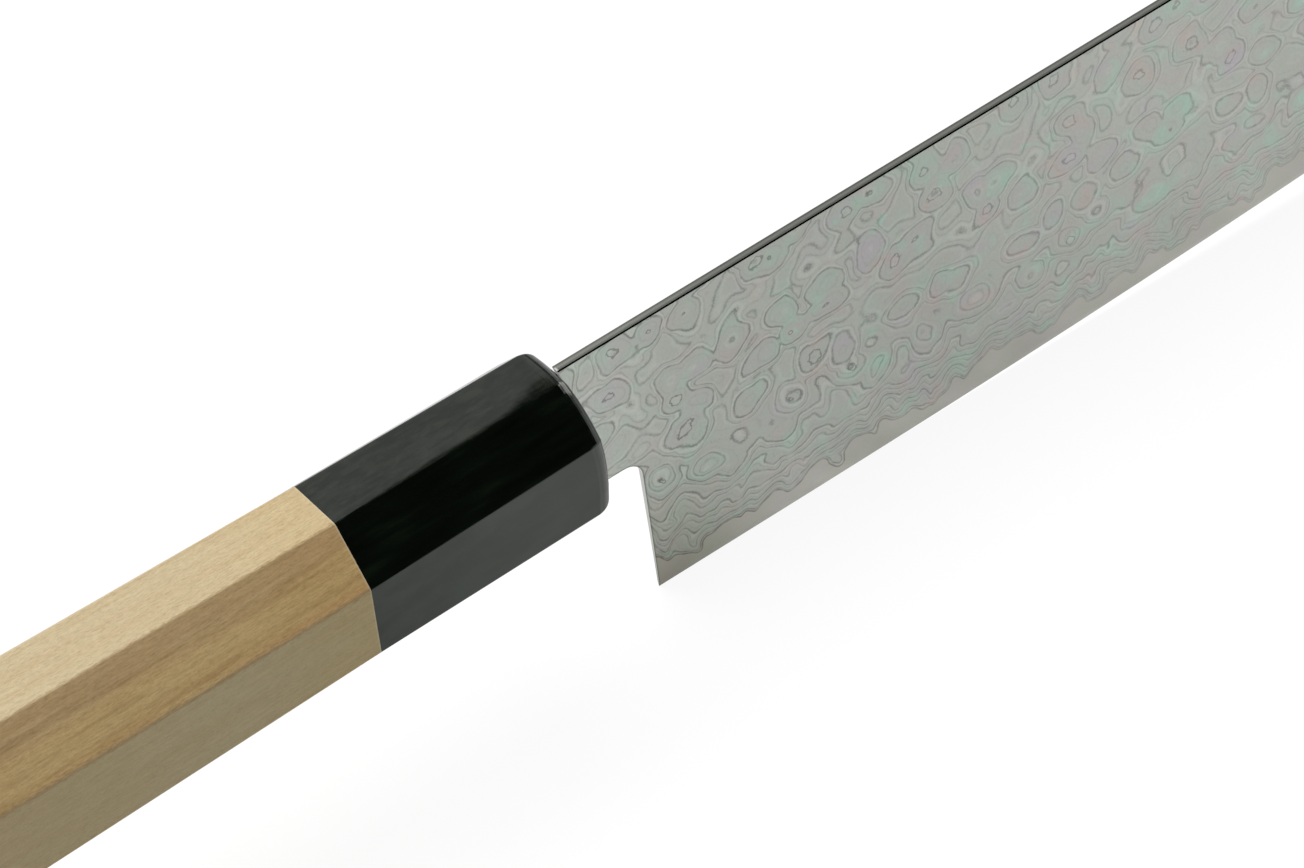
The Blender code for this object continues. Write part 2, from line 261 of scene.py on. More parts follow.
# %% [markdown]
# ## Layered steel
#
# Each side of the blade is a stack of thin sheets, forged together, dented all over and ground flat
# again. Where the grinding cuts a dent, the layers show as closed rings. An image could copy one
# blade's rings, but a height map with lines at even heights, like a walker's map, follows the real
# cause, so it holds from close up and on both sides. The dents come from a Voronoi texture, which
# scatters points at a steady spacing, and a noise rolls the ground between them.

# %% Dents in the stack
DENT_SPACING = 6.4  # mm between one dent and the next
DENT_SHAPE = (0.95, 1.0, 1.0)  # a dent is a little longer along the blade
SCATTER, SOFTNESS = 0.85, 0.22  # how far the dents stray from a grid, and how softly they meet
DENT_WALL = 0.22, 0.58  # a dent's wall rises between these shares of the spacing from its middle
HOLLOW = 0.0, 0.26  # and a deeper hollow lies between these
DENT_DEPTH, DEEPEST = 1.15, 0.35  # levels cut through by the wall, and more in the hollow
DENTED_FROM = 5.0, 13.0  # mm above the edge, between which the dents grow to their full depth
LEAST_DENTED = 0.15
ROLL_SIZE, ROLL_REACH = 4.6, 1.9  # in mm, and in levels
ROLL_IN_DENTS = 0.30
ROLL_PLACE = (50.0, 20.0, 0.0)  # a far-off part of the noise, so that no two patterns coincide


def dent_levels(graph, flat, bent, above):
    """The levels that the dents and the rolling ground add, and how far a place is from the middle
    of its dent, in shares of the dents' spacing."""
    dents = {"Vector": graph.stretched(bent, DENT_SHAPE), "Scale": 1 / DENT_SPACING, "Randomness": SCATTER}
    soft_dents = dict(dents, Smoothness=SOFTNESS)
    near = graph.add("ShaderNodeTexVoronoi", dents, voronoi_dimensions="2D", feature="F1")
    soft = graph.add("ShaderNodeTexVoronoi", soft_dents, voronoi_dimensions="2D", feature="SMOOTH_F1")
    wall = graph.mapped(soft, *DENT_WALL)
    level = graph.mapped(soft, *HOLLOW, DEEPEST, 0.0)
    level = graph.plus(level, graph.sloped(wall, 0.0, 1.0, DENT_DEPTH, 0.0))
    level = graph.times(level, graph.mapped(above, *DENTED_FROM, LEAST_DENTED, 1.0))
    rolling = graph.noise(graph.moved(flat, ROLL_PLACE), ROLL_SIZE, detail=0.0, dimensions="2D")
    rolling = graph.times(graph.swing(rolling, ROLL_REACH), graph.mapped(wall, 0.0, 1.0, ROLL_IN_DENTS, 1.0))
    return graph.plus(level, rolling), near


print("dents on a square centimetre, about:", round((10 / DENT_SPACING) ** 2, 1))

# %% [markdown]
# Near the edge the blade thins, and the grinding cuts the stack at a slant: the sheets run along
# the edge as wavy lines, closer and closer, until the hard core comes out below the last of them
# as a plain band. An exponential curve packs the lines in that way, where a straight slope would
# space them evenly. The waves hardly change with height, so neighbouring lines run in step.

# %% Slant near the edge
EDGE_FLAT_END = 13.1  # x in mm: the edge is straight up to here
EDGE_CURVE_LENGTH, EDGE_RISE = 140.0, 6.0
CORE_TOP = 4.5  # mm from the edge up to where the layers end, before the ripples
SLANT_FALL, SLANT_LEVELS = 6.0, 7.0  # mm in which the slant eases off, and levels at the core's top
RIPPLE_SIZE, RIPPLE_SHAPE = 4.4, (1.0, 0.55, 1.0)
RIPPLE_BAND = 3.5, 9.5  # mm above the edge, between which the waves calm down
RIPPLE_REACH = 7.3, 4.5  # mm, below and above that
HEEL_X = -11.9
HEEL_RISE = 1.9  # mm by which the plain band is taller at the heel


def height_above_edge(graph, x, z):
    """Millimetres above the cutting edge, which rises in a shallow curve towards the tip."""
    along = graph.over(graph.minus(x, EDGE_FLAT_END), EDGE_CURVE_LENGTH)
    rise = graph.calc("POWER", graph.at_least(along, 0.0), 2.0)
    return graph.minus(z, graph.times(rise, EDGE_RISE))


def slant_levels(graph, bent, above, x):
    """The levels that the slant takes away, more and more towards the edge."""
    ripple = graph.noise(graph.stretched(bent, RIPPLE_SHAPE), RIPPLE_SIZE, detail=1.0, dimensions="2D")
    reach = graph.sloped(above, *RIPPLE_BAND, *RIPPLE_REACH)
    rippled = graph.plus(above, graph.swing(ripple, reach))
    rippled = graph.minus(rippled, graph.mapped(x, HEEL_X, 0.0, HEEL_RISE, 0.0))
    slant = graph.calc("EXPONENT", graph.over(graph.minus(rippled, CORE_TOP), -SLANT_FALL))
    return graph.times(slant, -SLANT_LEVELS)


# %% [markdown]
# Beside the heel and under the neck the rim was ground off by hand, which bends the sheets along
# the outline there. The distance from that outline is worked out from its straight lines and the
# round corner between them, so it follows the corner too.

# %% The field of layers
HEEL_LEAN = 0.0196  # mm back for each mm up
NOTCH_Z, NOTCH_RADIUS = 22.95, 2.6
RIM_FALL = 0.6  # mm from the rim, in which its bend eases off
SIDE_SHIFT = 137.0  # the two sides show different stretches of the pattern
SLOW_BEND, FINE_BEND = (8.0, 1.5), (2.2, 0.26)  # size and reach in mm
RAGGED_SIZE, RAGGED_REACH = 0.35, 0.09  # in mm, and in levels


def rim_distance(graph, x, z):
    """Millimetres in from the outline of the heel and of the neck's underside."""
    heel_line = graph.minus(HEEL_X, graph.times(z, HEEL_LEAN))
    past_heel = graph.at_least(graph.plus(graph.minus(x, heel_line), NOTCH_RADIUS), 0.0)
    past_notch = graph.at_least(graph.minus(z, NOTCH_Z - NOTCH_RADIUS), 0.0)
    return graph.at_least(graph.minus(graph.length(past_heel, past_notch), NOTCH_RADIUS), 0.0)


def layer_field(graph, x, y, z):
    """Which layer lies at the surface, as a number that grows away from the core, how far a place
    is from the middle of its dent, and how far from the heel's outline."""
    flat = graph.plus(x, graph.times(graph.calc("SIGN", y), SIDE_SHIFT))
    flat = graph.add("ShaderNodeCombineXYZ", {0: flat, 1: z})
    bent = graph.warped(graph.warped(flat, *SLOW_BEND), *FINE_BEND)
    above = height_above_edge(graph, x, z)
    level, near = dent_levels(graph, flat, bent, above)
    level = graph.plus(level, slant_levels(graph, bent, above, x))
    rim = rim_distance(graph, x, z)
    level = graph.minus(level, graph.calc("EXPONENT", graph.over(rim, -RIM_FALL)))
    ragged = graph.noise(flat, RAGGED_SIZE, detail=1.0, dimensions="2D")
    return graph.plus(level, graph.swing(ragged, RAGGED_REACH)), near, rim


# %% [markdown]
# The etch shows the edges of the sheets as thin dark lines. A line that is a fixed share of the
# stack would spread wherever the field is nearly level, so each line is drawn by its distance in
# millimetres: the distance in levels over the steepness of the field. Blender gives no steepness
# of a value, but a bump node tilts the normal by just that, so it can be read back from the tilt.

# %% Lines along the sheets
LAYER_STACK = 1.65  # levels between one dark sheet and the next of its kind
EVEN_WIDTH = 0.7  # 1 would make all the lines equally wide, 0 would let each spread freely
LEAST_COSINE, LEAST_STEEP = 0.05, 0.08  # limits that keep the powers within bounds
FULL_RELIEF = 1.0, 1.0  # a bump's strength, and the millimetres that a height of 1 is
NEARLY_ONE = 0.9999  # keeps the root's value above zero on level ground
LINE_EDGE = 0.10, 1.9  # a line fades between these times its half width


def steepness(graph, level):
    """Levels per millimetre of a field, read from how far it would tilt the surface as a relief."""
    tilted = graph.bump(level, *FULL_RELIEF)
    flat = graph.add("ShaderNodeNewGeometry", output="Normal")
    cosine = graph.add("ShaderNodeVectorMath", {0: tilted, 1: flat}, "Value", operation="DOT_PRODUCT")
    cosine = graph.at_least(cosine, LEAST_COSINE)
    tangent = graph.calc("SQRT", graph.minus(graph.calc("POWER", cosine, -2.0), NEARLY_ONE))
    return graph.calc("POWER", graph.at_least(tangent, LEAST_STEEP), EVEN_WIDTH)


def sheet_line(graph, phase, at, half_width, steep):
    """1 on a thin sheet at a place in the stack and 0 away from it."""
    away = graph.over(graph.times(graph.apart(phase, at), LAYER_STACK), steep)
    return graph.mapped(away, LINE_EDGE[0] * half_width, LINE_EDGE[1] * half_width, 1.0, 0.0)


# %% [markdown]
# Each turn of the stack has two dark sheets, fainter ones between them, and a pale line beside
# each dark one. The etch bit unevenly, so the dark lines are stronger in one place than in the
# next, and all of them are fainter towards the tip. Some dents have a small dark ring in the
# middle, where the last cut just reached one layer more.

# %% Tones of the stack
STACK_TONES = [(0.0, 0.460), (0.28, 0.467), (0.36, 0.452), (0.90, 0.450), (1.0, 0.460)]
# Place in the stack, half width in mm, and how much darker or paler the line is
SHEET_LINES = [(0.345, 0.125, 0.44), (0.13, 0.075, 0.18), (0.60, 0.065, 0.09), (0.94, 0.110, 0.32)]
PALE_LINES = [(0.24, 0.180, 0.085), (0.84, 0.150, 0.07)]
FADE_OVER, FAINTEST = (-5.0, 60.0), 0.68  # x in mm, and the lines' strength at the end of it
BITE_SIZE, LEAST_BITE = 1.4, 0.45
MARK_DEPTH = 0.42  # how much darker a mark is
MARK_SIZE = 0.10, 0.95  # mm from the dent's middle
MARK_LUMPS, MARK_RAGGED = 0.7, 1.1  # size and reach of its raggedness in mm
MARK_LINE = 0.05, 0.19  # a mark's line fades between these distances in mm
MARK_LUCK = 0.48, 0.56  # about half of the dents have one
MARKS_FROM = 11.0, 15.0  # mm above the edge


def centre_mark(graph, place, near, luck):
    """A small dark ragged ring where the last cut reached just into the middle of a dent."""
    lot = graph.channels(luck)
    ragged = graph.swing(graph.noise(place, MARK_LUMPS), MARK_RAGGED)
    out = graph.plus(graph.times(near, DENT_SPACING), ragged)
    ring = graph.apart(out, graph.sloped(lot[0], 0.0, 1.0, *MARK_SIZE))
    return graph.times(graph.mapped(ring, *MARK_LINE, 1.0, 0.0), graph.mapped(lot[1], *MARK_LUCK))


def stack_tone(graph, place, x, z, phase, steep, near):
    """The grey of the etched stack with its lines and marks, and how deep the etch bit."""
    tone = graph.ramp(phase, STACK_TONES)
    fades = graph.sloped(x, *FADE_OVER, 1.0, FAINTEST)
    bite = graph.mapped(graph.noise(place, BITE_SIZE), 0.30, 0.65, LEAST_BITE, 1.0)
    bite = graph.times(bite, fades)
    for at, half_width, depth in SHEET_LINES:
        line = graph.times(bite, sheet_line(graph, phase, at, half_width, steep))
        tone = graph.scaled(tone, graph.sloped(line, 0.0, 1.0, 1.0, 1.0 - depth))
    for at, half_width, gain in PALE_LINES:
        line = graph.times(fades, sheet_line(graph, phase, at, half_width, steep))
        tone = graph.scaled(tone, graph.sloped(line, 0.0, 1.0, 1.0, 1.0 + gain))
    mark = graph.times(centre_mark(graph, place, near, near.node.outputs["Color"]), MARK_DEPTH)
    mark = graph.times(mark, graph.times(graph.mapped(z, *MARKS_FROM), fades))
    return graph.scaled(tone, graph.minus(1.0, mark)), bite


# %% [markdown]
# A thin film from the etch tints the steel green, rose or lilac: in soft patches, in some dents
# that take a tint of their own, and in a few small spots. It is stronger away from the heel. The
# real colours come from interference, but a tint on the metal shows the same at every angle in
# view.

# %% Film of the etch
FILM_ROSE, FILM_GREEN, FILM_LILAC = (1.08, 0.945, 0.965), (0.935, 1.09, 1.03), (1.03, 0.965, 1.055)
FILM_SPOT, NO_FILM = (0.90, 1.11, 1.05), (1.0, 1.0, 1.0)
PATCH_FILMS = [(0.34, FILM_ROSE), (0.45, NO_FILM), (0.54, NO_FILM), (0.65, FILM_GREEN)]
DENT_FILMS = [(0.24, FILM_SPOT), (0.30, NO_FILM), (0.70, NO_FILM), (0.76, FILM_LILAC)]
PATCH_SIZE, LILAC_SIZE, SPOT_SIZE = 4.2, 6.0, 2.4
LILAC_PLACE, SPOT_PLACE = (9.0, 70.0, 30.0), (40.0, 10.0, 50.0)
LILAC_FROM, SPOTS_FROM = (0.56, 0.72), (0.66, 0.76)
FILM_OVER, FILM_AT_HEEL = (-20.0, 45.0), 0.60  # x in mm, and the film's strength at the start of it
DENT_OVER, FILM_ON_RIM = (0.20, 0.65), 0.55  # shares of the dents' spacing, and its strength at the end
DENT_INSIDE, DENT_FILM = (0.28, 0.42), 0.45  # a dent's own tint ends here, and how strong it is
DENT_FILMS_FROM = 9.0, 14.0  # mm above the edge


def film_tint(graph, place, x, z, near):
    """The colours of the etch's thin film."""
    film = graph.ramp(graph.noise(place, PATCH_SIZE, detail=1.5), PATCH_FILMS)
    lilac = graph.mapped(graph.noise(graph.moved(place, LILAC_PLACE), LILAC_SIZE), *LILAC_FROM)
    film = graph.mix(lilac, film, FILM_LILAC)
    shows = graph.mapped(near, *DENT_OVER, 1.0, FILM_ON_RIM)
    shows = graph.times(shows, graph.mapped(x, *FILM_OVER, FILM_AT_HEEL, 1.0))
    film = graph.mix(shows, NO_FILM, film)
    own = graph.ramp(graph.channels(near.node.outputs["Color"])[2], DENT_FILMS)
    inside = graph.times(graph.mapped(near, *DENT_INSIDE, DENT_FILM, 0.0), shows)
    inside = graph.times(inside, graph.mapped(z, *DENT_FILMS_FROM))
    film = graph.mix(inside, film, graph.tint(film, own))
    spots = graph.noise(graph.moved(place, SPOT_PLACE), SPOT_SIZE, detail=1.5)
    return graph.mix(graph.mapped(spots, *SPOTS_FROM), film, FILM_SPOT)


# %% [markdown]
# Below the layers the core shows as a plain, faintly clouded band, with the forge weld as a thin
# brown line above it. Painted shade darkens the steel along the ground rim of the heel and the neck,
# and darkens and browns the low corner of the heel; painted light makes the neck a little brighter.

# %% Core and heel
CORE_LEVEL, CORE_BLEND = -8.2, 0.12
WELD_LINE = 0.13  # half width in mm
WELD_EDGE = 0.35, 1.5  # it fades between these times its half width
WELD_FADE, FAINTEST_WELD = (0.0, 55.0), 0.50
LEAST_WELD = 0.65  # its strength where the etch bit least
CORE_COLOR, CORE_CLOUD, CLOUD_SIZE = (0.445, 0.455, 0.400), (0.465, 0.450, 0.415), 4.0
WELD_COLOR = (0.23, 0.205, 0.180)
# Painted shade along the ground rim of the heel and the neck
RIM_LINE, RIM_SHADE = (0.06, 0.26), 0.60  # mm from the outline, and how much light is left on it
# Painted shade in the heel's low corner: darker and browner
LOW_HEEL_SHADE, LOW_HEEL_REACH = (0.80, 0.800, 0.740), 22.0
LOW_HEEL_SHAPE = 0.8  # mm along the blade that count as much as one mm up: the tint reaches further up
# Painted light: the neck a little brighter
NECK_OVER, NECK_LIGHT = (-23.0, -4.0), 1.05


def above_the_core(graph, place, x, level, bite, steep, color):
    """The layers' colour, with the weld line and the core where the layers end."""
    layered = graph.mapped(level, CORE_LEVEL, CORE_LEVEL + CORE_BLEND)
    weld = graph.over(graph.apart(level, CORE_LEVEL), steep)
    weld = graph.mapped(weld, WELD_EDGE[0] * WELD_LINE, WELD_EDGE[1] * WELD_LINE, 1.0, 0.0)
    weld = graph.times(weld, graph.mapped(bite, LEAST_BITE, 1.0, LEAST_WELD, 1.0))
    weld = graph.times(weld, graph.sloped(x, *WELD_FADE, 1.0, FAINTEST_WELD))
    cloud = graph.noise(place, CLOUD_SIZE)
    core = graph.mix(graph.mapped(cloud, 0.35, 0.65), CORE_COLOR, CORE_CLOUD)
    return graph.mix(weld, graph.mix(layered, core, color), WELD_COLOR)


def beside_the_heel(graph, x, z, rim, color):
    """A colour with painted shade along the rim and, darker and browner, in the heel's low corner, and
    painted light on the neck.
    """
    color = graph.scaled(color, graph.mapped(rim, *RIM_LINE, RIM_SHADE, 1.0))
    up = graph.times(height_above_edge(graph, x, z), LOW_HEEL_SHAPE)
    low_heel_shade = graph.mapped(graph.length(rim, up), 0.0, LOW_HEEL_REACH, 1.0, 0.0)
    color = graph.mix(low_heel_shade, color, graph.tint(color, LOW_HEEL_SHADE))
    return graph.scaled(color, graph.mapped(x, *NECK_OVER, NECK_LIGHT, 1.0))


# %% [markdown]
# Seen from above, the spine shows the three sheets that were welded: the core as a paler stripe in
# the middle of the two claddings, all with fine lines from the grinding belt. The end face of the
# heel is plain core steel, and the small chamfers beside them are painted dark, as painted shade.
# Painted light makes the spine brighter towards the neck, and a painted highlight sits where it
# enters the horn. The colours are chosen by the direction that a face looks in, so the same
# material serves the core and both claddings.

# %% Spine and heel face
# mm from the middle of the blade, and the tone there
SPINE_SHEETS = [(0.0, 0.30), (0.19, 0.29), (0.24, 0.17), (0.32, 0.21), (0.42, 0.16), (0.55, 0.19)]
BELT_LINES = [(0.3, 0.80), (0.7, 1.15)]
BELT_SHAPE, BELT_SIZE = (0.05, 1.0, 0.3), 0.09
# The chamfers' near-black colour here is painted shade
SPINE_TINT, HEEL_END, CHAMFER_SHADE = (0.97, 1.0, 0.90), (0.53, 0.54, 0.50), (0.10, 0.10, 0.09)
# Painted light: the spine brighter towards the neck
BRIGHT_NECK, NECK_SPINE_LIGHT = (-14.0, 6.0), 1.32
# A painted highlight where the spine enters the horn, on the near side
GLINT_LENGTH, GLINT_WIDTH, GLINT_COLOR = (-22.25, -22.0), (0.0, 0.25), (0.95, 0.95, 0.93)


def narrow_faces(graph, x, y, belt, on_chamfer, on_heel):
    """The colour of the spine, the heel's end face and the chamfers, with painted shade on the chamfers,
    painted light towards the neck and a painted highlight where the spine enters the horn.
    """
    color = graph.ramp(graph.calc("ABSOLUTE", y), SPINE_SHEETS)
    color = graph.tint(color, graph.ramp(belt, BELT_LINES))
    color = graph.tint(graph.scaled(color, graph.mapped(x, *BRIGHT_NECK, NECK_SPINE_LIGHT, 1.0)), SPINE_TINT)
    glint = graph.times(graph.mapped(x, *GLINT_LENGTH, 1.0, 0.0), graph.mapped(y, *GLINT_WIDTH, 1.0, 0.0))
    color = graph.mix(glint, color, GLINT_COLOR)
    return graph.mix(on_chamfer, graph.mix(on_heel, color, HEEL_END), CHAMFER_SHADE)


# %% [markdown]
# The finish puts these together. The tone also drives the roughness, and the acid eats the dark
# sheets a little deeper, which is the small relief. The relief is read from the stack alone, since
# a bump fed by another bump would undo the steepness above.

# %% Blade finish
STEEL_TINT = (0.952, 0.997, 0.908)
SATIN_SHAPE, SATIN_SIZE, SATIN_SWING = (1.0, 1.0, 0.7), 0.32, (0.968, 1.032)
STACK_RELIEF = [(0.0, 0.6), (0.22, 0.6), (0.24, 1.0), (0.31, 1.0), (0.345, 0.0), (0.38, 0.5), (0.91, 0.5),
                (0.94, 0.1), (0.97, 0.6)]
GRAIN_SHAPE, GRAIN_SIZE = (1.0, 1.0, 0.35), 0.16
TONES, ROUGH_BY_TONE = (0.28, 0.50), (0.44, 0.36)  # a dark sheet is rougher than a pale one
ROUGH_GRAIN = 0.08
ROUGH_SPINE, ROUGH_BELT, ROUGH_CHAMFER = 0.30, 0.12, 0.16
RELIEF_DEPTH, GRAIN_DEPTH = 0.10, 0.12  # in hundredths of a millimetre
BLADE_RELIEF = 0.5, 0.01  # strength, and the millimetres that a height of 1 is
# Ranges of the surface's direction: 1 sideways on the flat sides, -1 backwards on the heel's end face
SIDE_FACING, CHAMFER_FACING, HEEL_FACING = (0.90, 0.97), (0.35, 0.6), (-0.95, -0.80)


def blade_roughness(graph, tone, grain, belt, on_side, on_chamfer):
    """The roughness: by tone on the flat sides, by the belt's lines on the narrow faces."""
    rough = graph.sloped(graph.channels(tone)[0], *TONES, *ROUGH_BY_TONE)
    rough = graph.plus(rough, graph.swing(grain, ROUGH_GRAIN))
    rough_ends = graph.plus(ROUGH_SPINE, graph.swing(belt, ROUGH_BELT))
    rough_ends = graph.sloped(on_chamfer, 0.0, 1.0, rough_ends, ROUGH_CHAMFER)
    return graph.sloped(on_side, 0.0, 1.0, rough_ends, rough)


def make_blade_material():
    material, graph, shader = new_material("layered_blade_steel")
    place = graph.place()
    x, y, z = graph.axes(place)
    level, near, rim = layer_field(graph, x, y, z)
    phase = graph.calc("FRACT", graph.over(level, LAYER_STACK))
    steep = steepness(graph, level)
    tone, bite = stack_tone(graph, place, x, z, phase, steep, near)
    satin = graph.noise(graph.stretched(place, SATIN_SHAPE), SATIN_SIZE)
    color = graph.tint(graph.scaled(tone, graph.sloped(satin, 0.30, 0.70, *SATIN_SWING)), STEEL_TINT)
    color = graph.tint(color, film_tint(graph, place, x, z, near))
    color = above_the_core(graph, place, x, level, bite, steep, color)
    color = beside_the_heel(graph, x, z, rim, color)

    facing = graph.facing()
    sideways = graph.calc("ABSOLUTE", facing[1])
    on_side, on_chamfer = graph.mapped(sideways, *SIDE_FACING), graph.mapped(sideways, *CHAMFER_FACING)
    on_heel = graph.mapped(facing[0], *HEEL_FACING, 1.0, 0.0)
    belt = graph.noise(graph.stretched(place, BELT_SHAPE), BELT_SIZE)
    color = graph.mix(on_side, narrow_faces(graph, x, y, belt, on_chamfer, on_heel), color)

    grain = graph.noise(graph.stretched(place, GRAIN_SHAPE), GRAIN_SIZE)
    rough = blade_roughness(graph, tone, grain, belt, on_side, on_chamfer)
    relief = graph.times(graph.ramp(phase, STACK_RELIEF), RELIEF_DEPTH)
    bump = graph.bump(graph.plus(relief, graph.times(grain, GRAIN_DEPTH)), *BLADE_RELIEF)
    give(graph, shader, Base_Color=color, Metallic=1.0, Roughness=rough, Normal=bump)
    return material


blade_steel = make_blade_material()
for name in ("core_steel", "cladding_left", "cladding_right"):
    dress(name, blade_steel)

# %% [markdown]
# ## Black horn
#
# The ferrule is polished water-buffalo horn: nearly black, glossy, with greenish grey streaks, and
# not quite flat, since it was finished by hand. A glossy black lives from what it mirrors, so the
# colours stay near black, and a soft bump gives the waves of the polish. The polish also took the
# near edge of the top facet off, more at the front than at the joint. That edge is part of the
# bump too: cut into the solid it would need many faces for a few tenths of a millimetre.

# %% Horn polish
JOINT_X, CROWN_X = -57.1, -21.1
TOP_HALF_AT_JOINT, TOP_HALF_AT_FRONT = 4.05, 3.55  # half the top facet's width
EDGE_AT_JOINT, EDGE_AT_FRONT = (0.15, 0.85), (0.0, 3.0)  # mm of the facet that the polish rounds
JOINT_END, FRONT_END = (-58.0, -46.0), (-34.0, -23.0)  # x in mm, over which these grow
POLISHED_OFF = 0.08, 0.025  # mm taken off one millimetre past the flat: near the joint, at the front
POLISHED_OVER = -37.0, -27.0
EDGE_SHAPE, EDGE_SIZE, EDGE_SWING = (0.30, 0.0, 0.0), 1.1, (0.80, 1.20)  # ragged only along the edge


def polished_edge(graph, place, x, y):
    """The height lost where the polish rounds the top facet's near edge, most of all at the front."""
    half = graph.sloped(x, JOINT_X, CROWN_X, TOP_HALF_AT_JOINT, TOP_HALF_AT_FRONT)
    reach = graph.mapped(x, *JOINT_END, *EDGE_AT_JOINT)
    reach = graph.plus(reach, graph.mapped(x, *FRONT_END, *EDGE_AT_FRONT))
    ragged = graph.noise(graph.stretched(place, EDGE_SHAPE), EDGE_SIZE)
    reach = graph.times(reach, graph.sloped(ragged, 0.25, 0.75, *EDGE_SWING))
    past = graph.minus(graph.times(y, -1.0), graph.minus(half, reach))
    past = graph.calc("MINIMUM", graph.at_least(past, 0.0), reach)
    lost = graph.mapped(x, *POLISHED_OVER, -POLISHED_OFF[0], -POLISHED_OFF[1])
    return graph.times(graph.calc("POWER", past, 2.0), lost)


# %% [markdown]
# The horn's side and top are mottled, the side greener, and calmer towards the front. Beside the
# blade the rounding of the front has a small pale spot, a painted highlight.

# %% Horn finish
HORN_STREAKS = [(0.35, (0.002, 0.003, 0.002)), (0.55, (0.003, 0.005, 0.003)), (0.75, (0.007, 0.012, 0.007))]
HORN_TINT = (0.92, 1.0, 0.90)
SIDE_MOTTLE, TOP_MOTTLE = (0.014, 0.024, 0.013), (0.019, 0.020, 0.016)
CALM_FRONT, LEAST_MOTTLE = (-42.0, -26.0), 0.35  # x in mm, and the mottle's strength at the end of it
HORN_TOP_FACING, HORN_SIDE_FACING = (0.93, 0.98), (0.25, 0.40)  # how far a facet faces up
CLOUD_ROUGH, SCRATCH_ROUGH = 0.20, 0.14
WAVE_HEIGHT, SCRATCH_HEIGHT = 0.06, 0.0018  # mm
# A painted highlight: the pale spot on the front's rounding, below the top facet's corner
HORN_HIGHLIGHT, HIGHLIGHT_PLACE = (0.32, 0.325, 0.30), (-4.1, 45.9)  # y and z in mm
HIGHLIGHT_REACH, HIGHLIGHT_LUMPS, HIGHLIGHT_SWING, HIGHLIGHT_EDGE = (0.2, 1.9), 0.5, (0.5, 1.3), (0.15, 0.60)
ROUNDING_FROM, ROUNDING_TO = (0.25, 0.50), (0.58, 0.78)  # how far the highlight's part of the rounding faces forwards


def mottled(graph, place, x, facing, on_top, color):
    """A colour with the mottle of the side facets and of the top."""
    on_side = graph.mapped(graph.calc("ABSOLUTE", facing[2]), *HORN_SIDE_FACING, 1.0, 0.0)
    mottle = graph.streaks(place, along=0.45, size=2.6, detail=4.0, roughness=0.6)
    calm = graph.mapped(x, *CALM_FRONT, 1.0, LEAST_MOTTLE)
    mottle = graph.times(graph.mapped(mottle, 0.40, 0.68), calm)
    color = graph.mix(graph.times(on_side, mottle), color, SIDE_MOTTLE)
    brushed = graph.streaks(place, along=0.30, size=0.9, detail=4.0, roughness=0.6)
    return graph.mix(graph.times(on_top, graph.mapped(brushed, 0.35, 0.70)), color, TOP_MOTTLE)


def painted_highlight(graph, place, y, z, facing):
    """1 on the painted highlight, a pale spot below the top facet's corner, and 0 elsewhere."""
    highlight = graph.length(graph.plus(y, -HIGHLIGHT_PLACE[0]), graph.minus(z, HIGHLIGHT_PLACE[1]))
    highlight = graph.mapped(highlight, *HIGHLIGHT_REACH, 1.0, 0.0)
    highlight = graph.times(highlight, graph.mapped(facing[0], *ROUNDING_FROM))
    highlight = graph.times(highlight, graph.mapped(facing[0], *ROUNDING_TO, 1.0, 0.0))
    highlight = graph.times(highlight, graph.mapped(graph.noise(place, HIGHLIGHT_LUMPS), 0.30, 0.65, *HIGHLIGHT_SWING))
    return graph.mapped(highlight, *HIGHLIGHT_EDGE)


def make_horn_material():
    material, graph, shader = new_material("black_horn")
    place = graph.place()
    x, y, z = graph.axes(place)
    facing = graph.facing()
    on_top = graph.mapped(facing[2], *HORN_TOP_FACING)
    color = graph.ramp(graph.streaks(place, along=0.12, size=1.4, detail=3.0), HORN_STREAKS)
    color = mottled(graph, place, x, facing, on_top, color)
    color = graph.mix(painted_highlight(graph, place, y, z, facing), color, HORN_HIGHLIGHT)

    scratches = graph.streaks(place, along=0.10, size=0.20)
    clouds = graph.streaks(place, along=0.5, size=3.0)
    waves = graph.streaks(place, along=0.5, size=5.0, detail=1.0)
    rough = graph.plus(graph.times(clouds, CLOUD_ROUGH), graph.times(scratches, SCRATCH_ROUGH))
    height = graph.plus(graph.times(waves, WAVE_HEIGHT), graph.times(scratches, SCRATCH_HEIGHT))
    flat = graph.bump(height, *FULL_RELIEF)
    rounded = graph.bump(graph.plus(height, polished_edge(graph, place, x, y)), *FULL_RELIEF)
    bump = graph.add("ShaderNodeMix", {0: on_top, 4: flat, 5: rounded}, 1, data_type="VECTOR")
    give(graph, shader, Base_Color=color, Roughness=rough, IOR=1.5, Normal=bump, Specular_Tint=HORN_TINT)
    return material


dress("ferrule", make_horn_material())

# %% [markdown]
# ## Pale wood
#
# The grip is light magnolia-like wood, sanded and left bare. Its growth rings show as long soft
# bands on the facets and as arcs on the butt. Rings round a far-off pith give both from one cause,
# which stripes painted facet by facet would not.

# %% Facets and rings of the wood
PITH = (26.0, 0.5)  # mm across from the handle's middle line: y, z
RING_WIDTH, RING_WANDER = 2.6, 3.0
RING_TONES = [(0.0, 0.35), (0.55, 0.5), (0.80, 1.0), (0.92, 0.75), (1.0, 0.35)]
AXIS_Z, BUTT_X = 34.5, -153.1
END_FACING = 0.35, 0.8  # how far the butt and its rounding face along the handle


def wood_facets(graph):
    """How far a place looks along the handle, and the angle that its facet faces, level being 0."""
    parts = graph.facing()
    on_end = graph.mapped(graph.calc("ABSOLUTE", parts[0]), *END_FACING)
    return on_end, graph.calc("ARCTAN2", parts[2], graph.calc("ABSOLUTE", parts[1]))


